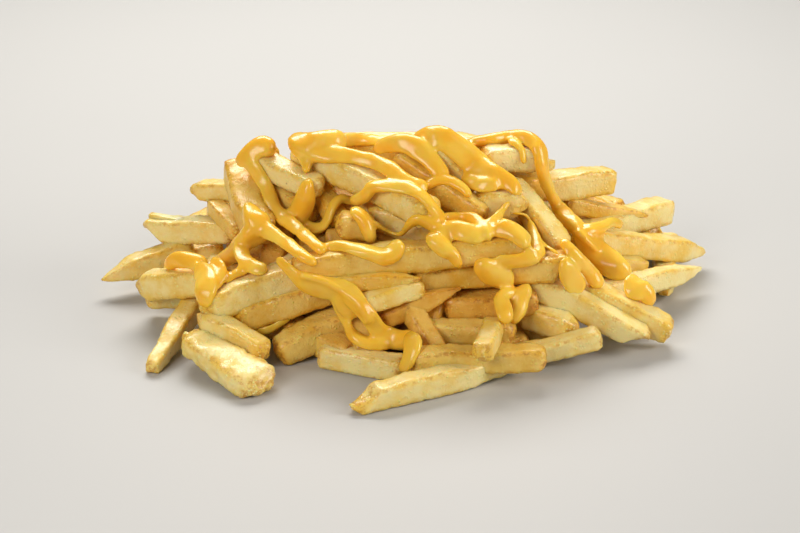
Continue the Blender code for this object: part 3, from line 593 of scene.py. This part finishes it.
def share_out(point, half_width, half_depth):
    """How far out a place is, as a share of the way to an oval of these half sizes."""
    return math.hypot(point.x / half_width, point.y / half_depth)


def place_out(turn, out, half_width, half_depth):
    """The place on the table at this turn, as far out as this share of the way to such an oval."""
    return Vector((half_width * out * math.cos(turn), half_depth * out * math.sin(turn), 0.0))


def core_height(point):
    out = share_out(point, CORE_HALF_WIDTH, CORE_HALF_DEPTH)
    return CORE_HEIGHT * (1 - min(out, 1.0) ** CORE_BULGE)


def heap_height(point):
    out = share_out(point, HALF_WIDTH, HALF_DEPTH)
    return FRY_REST + (PEAK - FRY_REST) * (1 - min(out, 1.0) ** SLOPE_POWER)


def middle_line(start, end):
    """Points along a fry's middle line."""
    shares = np.linspace(0.0, 1.0, LINE_POINTS)[:, None]
    return np.array(start) * (1 - shares) + np.array(end) * shares


def closeness(line, width, placed):
    """The gap to the nearest fry, as a share of the one at which they would touch."""
    lines = np.array([other for other, _ in placed])
    widths = np.array([other_width for _, other_width in placed])
    apart = np.linalg.norm(lines[:, :, None, :] - line[None, None, :, :], axis=3).min(axis=(1, 2))
    return (2 * apart / (widths + width)).min()


def seen_at(point):
    """Where a point shows from the viewpoint: across and up."""
    sight = point - VIEWPOINT
    sight *= VIEW_DISTANCE / -sight.dot(TOWARD_VIEWER)
    offset = VIEWPOINT + sight - LOOK_AT
    return offset.dot(VIEW_RIGHT), offset.dot(VIEW_UP)


def under_skyline(point, margin):
    across, up = seen_at(point)
    for (left, left_up), (right, right_up) in zip(SKYLINE, SKYLINE[1:]):
        if left <= across <= right:
            share = (across - left) / (right - left)
            return up + margin < left_up + share * (right_up - left_up)
    return False


def hidden(point, shown):
    """Whether something else stands between a point and the viewpoint."""
    sight = point - VIEWPOINT
    return shown.ray_cast(VIEWPOINT, sight.normalized(), sight.length - HIDDEN_MARGIN)[0] is not None


def resting_ends(middle, heading, length, depth, farthest):
    """The ends of a fry this deep under the heap's slope, or None where it would not lie flat."""
    reach = Vector((math.cos(heading), math.sin(heading), 0.0)) * length / 2
    ends = [middle - reach, middle + reach]
    for end in ends:
        if share_out(end, HALF_WIDTH, HALF_DEPTH) > farthest:
            return None
        end.z = max(heap_height(end) - depth, FRY_REST)
    centre = (ends[0] + ends[1]) / 2
    if abs(centre.z - heap_height(centre) + depth) > MOST_BRIDGED:
        return None
    return ends


def scatter(count, depth, turns, farthest, placed, shown, draw):
    """Fries on the heap's slope, or this deep under it, that touch the others and don't cross them."""
    lengths = sorted((draw.uniform(*FRY_LENGTHS) for _ in range(count)), reverse=True)
    found = []
    for length in lengths:
        width = draw.uniform(*FRY_WIDTHS)
        for _ in range(SCATTER_TRIES):
            turn = draw.uniform(*turns)
            out = math.sqrt(draw.uniform(0.0, 1.0)) * SCATTER_REACH
            middle = place_out(turn, out, HALF_WIDTH, HALF_DEPTH)
            ends = resting_ends(middle, draw.uniform(0, math.tau), length, depth, farthest)
            if ends is None:
                continue
            line = middle_line(*ends)
            near = closeness(line, width, placed)
            centre = (ends[0] + ends[1]) / 2
            on_core = core_height(centre) > centre.z - width / 2
            if near < NEAREST or (near > RESTING and not on_core):
                continue
            checks = [ends[0], centre, ends[1]]
            if depth == 0 and not all(hidden(point, shown) for point in checks):
                continue
            if not all(under_skyline(point, width / 2) for point in checks):
                continue
            placed.append((line, width))
            kinds = [draw.choice(FRY_ENDS) for _ in range(2)]
            found.append((*ends, width, *kinds, draw.choice(FRY_BENDS)))
            break
    return found


def inner_fries():
    """Fries spread evenly over the core, each lying on it."""
    draw = random.Random(INNER_SEED)
    found = []
    for index in range(INNER_FRIES):
        out = math.sqrt((index + 0.5) / INNER_FRIES)
        turn = index * GOLDEN_ANGLE
        middle = place_out(turn, out, CORE_HALF_WIDTH, CORE_HALF_DEPTH)
        heading = turn + math.pi / 2 + draw.uniform(-INNER_TURN, INNER_TURN)
        reach = Vector((math.cos(heading), math.sin(heading), 0.0)) * draw.uniform(*INNER_LENGTHS) / 2
        ends = [middle - reach, middle + reach]
        for end in ends:
            end.z = max(core_height(end) + INNER_LIFT, FRY_REST)
        found.append((*ends, draw.uniform(*FRY_WIDTHS), "cut", "cut", 0))
    return found


def surface_of(pieces):
    """A tree for ray casts against all these pieces."""
    points, faces = joined(pieces)
    return BVHTree.FromPolygons(points, faces)


def joined(pieces):
    """The points and faces of all these pieces as those of one."""
    points, faces = [], []
    for piece_points, piece_faces in pieces:
        first = len(points)
        points += piece_points
        faces += [tuple(first + index for index in face) for face in piece_faces]
    return points, faces


def add_piece(name, points, faces):
    mesh = bpy.data.meshes.new(name)
    mesh.from_pydata([tuple(point * MM) for point in points], [], faces)
    mesh.shade_smooth()
    made = bpy.data.objects.new(name, mesh)
    bpy.context.scene.collection.objects.link(made)
    return made


def add_shares(piece, name, shares):
    """Keeps one number a point on the mesh, for its material to read."""
    kept = piece.data.attributes.new(name, "FLOAT", "POINT")
    kept.data.foreach_set("value", shares)


def coordinates(mesh):
    """Its points in millimetres and their normals, as arrays of rows."""
    points = np.empty(len(mesh.vertices) * 3, np.float32)
    mesh.vertices.foreach_get("co", points)
    normals = np.empty(len(mesh.vertices) * 3, np.float32)
    mesh.vertex_normals.foreach_get("vector", normals)
    return points.reshape(-1, 3) / MM, normals.reshape(-1, 3)


def bumps(points, size):
    """Noise at each point, in bumps of about this size."""
    return np.array([noise.noise(Vector(row)) for row in points / size])


def raise_relief(piece, sizes, shares=None, scales=None):
    """Moves the mesh's points along their normals by noise, and keeps them on or over the table.

    Shares, where given, add relief near the edges, and scales set how much each point has in all.
    """
    points, normals = coordinates(piece.data)
    height = sum(bumps(points, size) * tall for size, tall in sizes)
    if shares is not None:
        size, tall = EDGE_RELIEF
        height += np.array(shares) * bumps(points, size) * tall
        height *= np.array(scales)
    points += normals * height[:, None]
    points[:, 2] = np.maximum(points[:, 2], 0.0)
    piece.data.vertices.foreach_set("co", (points * MM).ravel())
    piece.data.update()


def add_fries(kind, rows, palette):
    """The fries of one kind as one piece."""
    points, faces = joined([fry(*row, fine=True) for row in rows])
    piece = add_piece(f"fries_{kind}", points, faces)
    draw = random.Random(KIND_SEED)
    shares, scales, tones = [], [], []
    for row in rows:
        found = edge_shares(row)
        shares += found
        scales += [min(row[2] / FULL_RELIEF_WIDTH, 1.0) / flatness_of(row) ** 2] * len(found)
        tones += [draw.uniform(0.0, 1.0)] * len(found)
    raise_relief(piece, RELIEF, shares, scales)
    add_shares(piece, "edge", shares)
    add_shares(piece, "tone", tones)
    piece.data.materials.append(fry_material(f"fry_{kind}", *palette))
    return piece


def smooth_route(points, step):
    """Points at about this step along a smooth curve through the given ones."""
    knots = [Vector(point) for point in points]
    knots = [2 * knots[0] - knots[1]] + knots + [2 * knots[-1] - knots[-2]]
    route = []
    for before, start, end, after in zip(knots, knots[1:], knots[2:], knots[3:]):
        pieces = max(1, round((end - start).length / step))
        for piece in range(pieces):
            t = piece / pieces
            route.append(
                0.5
                * (
                    2 * start
                    + (end - before) * t
                    + (2 * before - 5 * start + 4 * end - after) * t**2
                    + (3 * start - before - 3 * end + after) * t**3
                )
            )
    route.append(knots[-2])
    return route


def lengthened(route):
    """The route with its ends pushed out, as the sauce is round beyond them."""
    knots = [Vector(point) for point in route]
    for end, inner in ((0, 1), (-1, -2)):
        outward = (knots[end] - knots[inner]).xy.normalized() * knots[end].z * OVERRUN
        knots[end] += outward.to_3d()
    return knots


def blurred(rows, reach, how):
    """Each row made one with its neighbours this many rows away on both sides, by least or by mean."""
    padded = np.pad(rows, ((reach, reach), (0, 0)), "edge")
    return how([padded[first: first + len(rows)] for first in range(2 * reach + 1)], axis=0)


def settled(reaches):
    """How far along each sight the sauce lies: on what is there, but bridging its gaps."""
    reaches = np.where(np.isnan(reaches), np.nanmax(reaches), reaches)
    bridged = round(BRIDGED / STRAND_STEP)
    reaches = blurred(reaches, bridged, np.min)
    for _ in range(round(HUNG / STRAND_STEP)):
        beside = blurred(reaches, 1, np.min) + STEEPEST * STRAND_STEP
        reaches = np.minimum(reaches, beside)
    reaches = np.minimum(reaches, reaches.min(axis=1, keepdims=True) + DROOP)
    reaches = blurred(reaches, bridged, np.mean)
    return blurred(reaches.T, 1, np.mean).T


def round_ends(path):
    """The share of its width that a line has at each point of its path: less of it near its ends."""
    travelled = [0.0]
    for start, end in zip(path, path[1:]):
        travelled.append(travelled[-1] + (end - start).xy.length)
    shares = []
    for point, distance in zip(path, travelled):
        inset = min(distance, travelled[-1] - distance)
        rounding = min(2 * inset / point.z, 1.0)
        shares.append(max(math.sqrt(1 - (1 - rounding) ** 2), END_SHARE))
    return shares


def ribbon(route, sight, surface, thickness=1.0):
    """A line of sauce laid on the surface as it is seen along the sights."""
    path = smooth_route(lengthened(route), STRAND_STEP)
    angles = [math.pi * lane / (LANES - 1) for lane in range(LANES)]
    sights, heights = [], []
    for index, (point, share) in enumerate(zip(path, round_ends(path))):
        ahead = (path[min(index + 1, len(path) - 1)] - path[max(index - 1, 0)]).xy
        left = ahead.orthogonal().normalized()
        offsets = [math.cos(angle) * point.z / 2 * share * SLIMNESS for angle in angles]
        sights.append([sight(*(point.xy + left * offset)) for offset in offsets])
        heights.append(share * thickness * point.z * THICKNESS / (1 + point.z / BROAD))
    hits = [[surface.ray_cast(*ray)[3] for ray in row] for row in sights]
    reaches = np.array(hits, dtype=float)
    if np.isnan(reaches).all():
        return None
    reaches = settled(reaches)
    points = []
    for row, row_reaches, height in zip(sights, reaches, heights):
        for (origin, direction), reach, angle in zip(row, row_reaches, angles):
            points.append(origin + direction * (reach + EDGE_SINK - height * math.sin(angle)))
        for (origin, direction), reach in reversed(list(zip(row, row_reaches))[1:-1]):
            points.append(origin + direction * (reach + MIDDLE_SINK))
    return points, tube_faces(len(path), 2 * LANES - 2)


def sight_from_front(across, up):
    target = LOOK_AT + VIEW_RIGHT * across + VIEW_UP * up
    return VIEWPOINT, (target - VIEWPOINT).normalized()


def sight_from_above(x, y):
    return Vector((x, y, 2 * PEAK)), Vector((0.0, 0.0, -1.0))


def far_route(index, draw):
    """One line of the far side's sauce: x, y and width at each point of its route."""
    first, last = FAR_STRAND_TURNS
    turn = first + (last - first) * (index + draw.uniform(*FAR_STRAND_PLACES)) / FAR_STRANDS
    wander = draw.uniform(-FAR_STRAND_WANDER, FAR_STRAND_WANDER)
    inner, outer = draw.uniform(*FAR_STRAND_STARTS), draw.uniform(*FAR_STRAND_ENDS)
    route = []
    for knot in range(FAR_STRAND_KNOTS):
        share = knot / (FAR_STRAND_KNOTS - 1)
        out = inner + (outer - inner) * share
        angle = turn + wander * math.sin(math.pi * share * FAR_STRAND_SWAY)
        spot = place_out(angle, out, HALF_WIDTH, HALF_DEPTH)
        route.append((spot.x, spot.y, draw.uniform(*FAR_STRAND_WIDTHS)))
    return route


def sauce_lines(surface):
    """Every line of sauce: those that show, those of the crest and those of the far side."""
    draw = random.Random(STRAND_SEED)
    lines = []
    for name, route in SHOWN_STRANDS.items():
        lines.append(ribbon(route, sight_from_front, surface, THICKNESSES.get(name, 1.0)))
    lines += [ribbon(route, sight_from_above, surface) for route in CREST_STRANDS.values()]
    for index in range(FAR_STRANDS):
        lines.append(ribbon(far_route(index, draw), sight_from_above, surface))
    return [line for line in lines if line is not None]


def apply_modifiers(piece):
    """Keeps the mesh that the modifiers make, without them."""
    graph = bpy.context.evaluated_depsgraph_get()
    mesh = bpy.data.meshes.new_from_object(piece.evaluated_get(graph))
    piece.modifiers.clear()
    piece.data = mesh


def add_sauce(strands):
    """All the sauce as one skin, melted together where its lines meet."""
    piece = add_piece("sauce", *joined(strands))
    remesh = piece.modifiers.new("melt", "REMESH")
    remesh.mode = "VOXEL"
    remesh.voxel_size = SAUCE_VOXEL * MM
    smooth = piece.modifiers.new("smooth", "SMOOTH")
    smooth.factor = SMOOTHING_FACTOR
    smooth.iterations = SMOOTHING_PASSES
    apply_modifiers(piece)
    piece.data.shade_smooth()
    raise_relief(piece, SAUCE_RELIEF)
    piece.data.materials.append(sauce_material())
    return piece


class Shader:
    """Makes and joins the nodes of one material."""

    def __init__(self, name):
        self.material = bpy.data.materials.new(name)
        self.material.use_nodes = True
        self.tree = self.material.node_tree
        self.principled = self.tree.nodes["Principled BSDF"]

    def node(self, kind, settings=None, **inputs):
        """A node with these settings, its inputs set by name to a value or to another node's socket."""
        made = self.tree.nodes.new(f"ShaderNode{kind}")
        for key, value in (settings or {}).items():
            setattr(made, key, value)
        for key, value in inputs.items():
            self.put(made.inputs[key.replace("_", " ")], value)
        return made

    def put(self, socket, value):
        if isinstance(value, bpy.types.NodeSocket):
            self.tree.links.new(value, socket)
        else:
            socket.default_value = value

    def surface(self, **inputs):
        for key, value in inputs.items():
            self.put(self.principled.inputs[key.replace("_", " ")], value)

    def place(self):
        return self.node("TexCoord").outputs["Object"]

    def shares(self, name):
        return self.node("Attribute", {"attribute_name": name}).outputs["Fac"]

    def noise(self, size, detail=2.0, roughness=0.5):
        """Noise whose bumps are about this many millimetres across."""
        scale = 1 / (size * MM)
        made = self.node("TexNoise", Vector=self.place(), Scale=scale, Detail=detail, Roughness=roughness)
        return made.outputs["Fac"]

    def cells(self, size):
        """How far each place is from the middle of its cell, for cells this many millimetres across."""
        return self.node("TexVoronoi", Vector=self.place(), Scale=1 / (size * MM)).outputs["Distance"]

    def between(self, value, low, high, to_low=0.0, to_high=1.0):
        """The value's stretch from low to high, spread over the other range and held at its ends."""
        made = self.node("MapRange", {"interpolation_type": "SMOOTHSTEP"}, Value=value)
        made.inputs["From Min"].default_value = low
        made.inputs["From Max"].default_value = high
        made.inputs["To Min"].default_value = to_low
        made.inputs["To Max"].default_value = to_high
        return made.outputs["Result"]

    def arithmetic(self, operation, first, second):
        made = self.node("Math", {"operation": operation})
        self.put(made.inputs[0], first)
        self.put(made.inputs[1], second)
        return made.outputs[0]

    def mix(self, share, first, second):
        made = self.node("Mix", {"data_type": "RGBA"})
        self.put(made.inputs["Factor"], share)
        self.put(made.inputs[6], first)
        self.put(made.inputs[7], second)
        return made.outputs[2]

    def bump(self, height, distance, normal=None):
        """A normal raised by this height, up to this many millimetres, over the one given."""
        made = self.node("Bump", Height=height, Distance=distance * MM, Strength=1.0)
        if normal is not None:
            self.put(made.inputs["Normal"], normal)
        return made.outputs["Normal"]


def fry_material(name, pale, deep, browned):
    """Cream in patches, deeper towards the edges, browned in spots along them, with a fine crust whose
    grains are lighter, partly in their own colour and partly as painted glints.
    """
    shader = Shader(name)
    edge = shader.shares("edge")
    patches = shader.between(shader.noise(*PATCH_NOISE), *PATCH_STRETCH, -PATCH_WEIGHT, PATCH_WEIGHT)
    edge_depth = shader.arithmetic("MULTIPLY", edge, EDGE_WEIGHT)
    tone_depth = shader.arithmetic("MULTIPLY", shader.shares("tone"), TONE_WEIGHT)
    depth = shader.arithmetic("ADD", shader.arithmetic("ADD", edge_depth, patches), tone_depth)
    colour = shader.mix(shader.between(depth, *DEPTH_STRETCH), pale, deep)
    spots = shader.between(shader.noise(*SPOT_NOISE), *SPOT_STRETCH)
    rim = shader.arithmetic("MULTIPLY", edge, spots)
    colour = shader.mix(shader.between(rim, *RIM_STRETCH, 0.0, BROWN_SHARE), colour, browned)
    crowds = shader.between(shader.noise(*CROWD_NOISE), *CROWD_STRETCH)
    grains = shader.between(shader.cells(GRAIN_SIZE), *GRAIN_STRETCH, 1.0, 0.0)
    crust = shader.arithmetic("MULTIPLY", grains, crowds)
    crust_and_glints = shader.arithmetic("MULTIPLY", crust, shader.between(edge, 0.0, 1.0, *CRUST_AND_GLINT_SHARES))
    # The crust's grains are lightened, partly in the crust's own colour and partly as painted glints.
    colour = shader.mix(crust_and_glints, colour, [min(part * CRUST_AND_GLINT_BRIGHTNESS, 1.0) for part in pale])
    specks = shader.between(shader.cells(SPECK_SPACING), *SPECK_STRETCH, SPECK_SHARE, 0.0)
    colour = shader.mix(specks, colour, SPECK_COLOUR)
    bumped = None
    for bump_noise, height in FRY_BUMPS:
        bumped = shader.bump(shader.noise(*bump_noise), height, bumped)
    bumped = shader.bump(crust, CRUST_HEIGHT, bumped)
    shader.surface(
        Base_Color=colour,
        Roughness=shader.between(crust, 0.0, 1.0, FRY_ROUGHNESS, CRUST_ROUGHNESS),
        Coat_Weight=0.35,
        Coat_Roughness=0.15,
        Normal=bumped,
        Subsurface_Weight=0.5,
        Subsurface_Radius=(1.0, 0.65, 0.22),
        Subsurface_Scale=0.0022,
        IOR=1.45,
    )
    return shader.material


def sauce_material():
    """Glossy and a little translucent, in two shades that pass into each other."""
    shader = Shader("cheese_sauce")
    patches = shader.between(shader.noise(SAUCE_PATCH_SIZE), *SAUCE_PATCH_STRETCH)
    shader.surface(
        Base_Color=shader.mix(patches, *SAUCE_COLOURS),
        Roughness=0.25,
        Normal=shader.bump(shader.noise(SAUCE_BUMP_SIZE), SAUCE_BUMP_HEIGHT),
        Subsurface_Weight=0.5,
        Subsurface_Radius=(1.0, 0.55, 0.15),
        Subsurface_Scale=0.003,
        Coat_Weight=0.3,
        Coat_Roughness=0.15,
        IOR=1.42,
    )
    return shader.material


def floor_material():
    shader = Shader("floor")
    colour = shader.mix(shader.noise(FLOOR_PATCH_SIZE), *FLOOR_COLOURS)
    shader.surface(Base_Color=colour, Roughness=0.55)
    return shader.material


def add_floor():
    """A wide pale floor, a hair under the heap."""
    half = FLOOR_SIZE / 2
    outline = ((-half, -half), (half, -half), (half, half), (-half, half))
    corners = [Vector((x, y, -FLOOR_GAP)) for x, y in outline]
    floor = add_piece("floor", corners, [(0, 1, 2, 3)])
    floor.data.materials.append(floor_material())


def aim(thing, target):
    """Turns a light or the camera towards a place."""
    direction = target * MM - thing.location
    thing.rotation_euler = direction.to_track_quat("-Z", "Y").to_euler()


def add_camera():
    camera = bpy.data.objects.new("camera", bpy.data.cameras.new("camera"))
    camera.data.lens = LENS
    camera.data.sensor_width = SENSOR
    camera.location = VIEWPOINT * MM
    aim(camera, LOOK_AT)
    bpy.context.scene.collection.objects.link(camera)
    bpy.context.scene.camera = camera


def add_light(name, place, size, power, colour):
    light = bpy.data.objects.new(name, bpy.data.lights.new(name, "AREA"))
    light.data.shape = "RECTANGLE"
    light.data.size, light.data.size_y = size[0] * MM, size[1] * MM
    light.data.energy = power
    light.data.color = colour
    light.location = Vector(place) * MM
    aim(light, LIT_PLACE)
    bpy.context.scene.collection.objects.link(light)


def add_world():
    world = bpy.data.worlds.new("studio")
    world.use_nodes = True
    background = world.node_tree.nodes["Background"]
    background.inputs["Color"].default_value = WORLD_COLOUR
    background.inputs["Strength"].default_value = WORLD_STRENGTH
    bpy.context.scene.world = world
    bpy.context.scene.view_settings.view_transform = "Standard"


def shown_kind(name):
    for kind, names in SHOWN_KINDS.items():
        if name in names:
            return kind
    return "pale"


def rows_by_kind(far):
    """All the fries, sorted by how browned they are."""
    kinds = {kind: [] for kind in PALETTES}
    for name, row in SHOWN_FRIES.items():
        kinds[shown_kind(name)].append(row)
    draw = random.Random(KIND_SEED)
    for row in far:
        kinds[draw.choices(list(KIND_WEIGHTS), KIND_WEIGHTS.values())[0]].append(row)
    return kinds


def add_core():
    piece = add_piece("core", *core())
    fineness = piece.modifiers.new("fineness", "SUBSURF")
    fineness.levels = fineness.render_levels = CORE_FINENESS
    apply_modifiers(piece)
    raise_relief(piece, CORE_RELIEF)
    # The core is coloured as fries in painted shade, darker than the fries on it, for the gaps.
    piece.data.materials.append(fry_material("core", *CORE_SHADED_COLOURS))
    return piece


def main():
    add_camera()
    draw = random.Random(SCATTER_SEED)
    shown_rows = list(SHOWN_FRIES.values())
    placed = [(middle_line(start, end), width) for start, end, width, *_ in shown_rows]
    mound = core()
    shown = surface_of([fry(*row) for row in shown_rows] + [mound])
    far = []
    for layer in LAYERS:
        far += scatter(*layer, placed, shown, draw)
    inner = inner_fries()
    surface = surface_of([fry(*row) for row in shown_rows + far + inner] + [mound])
    pieces = [add_fries(kind, rows, PALETTES[kind]) for kind, rows in rows_by_kind(far).items()]
    pieces.append(add_fries("inner", inner, INNER_COLOURS))
    pieces.append(add_core())
    sauce = add_sauce(sauce_lines(surface))
    for piece in pieces + [sauce]:
        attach(piece, "root")
        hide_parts(NODE)
    add_floor()
    for light in LIGHTS:
        add_light(*light)
    add_world()


main()
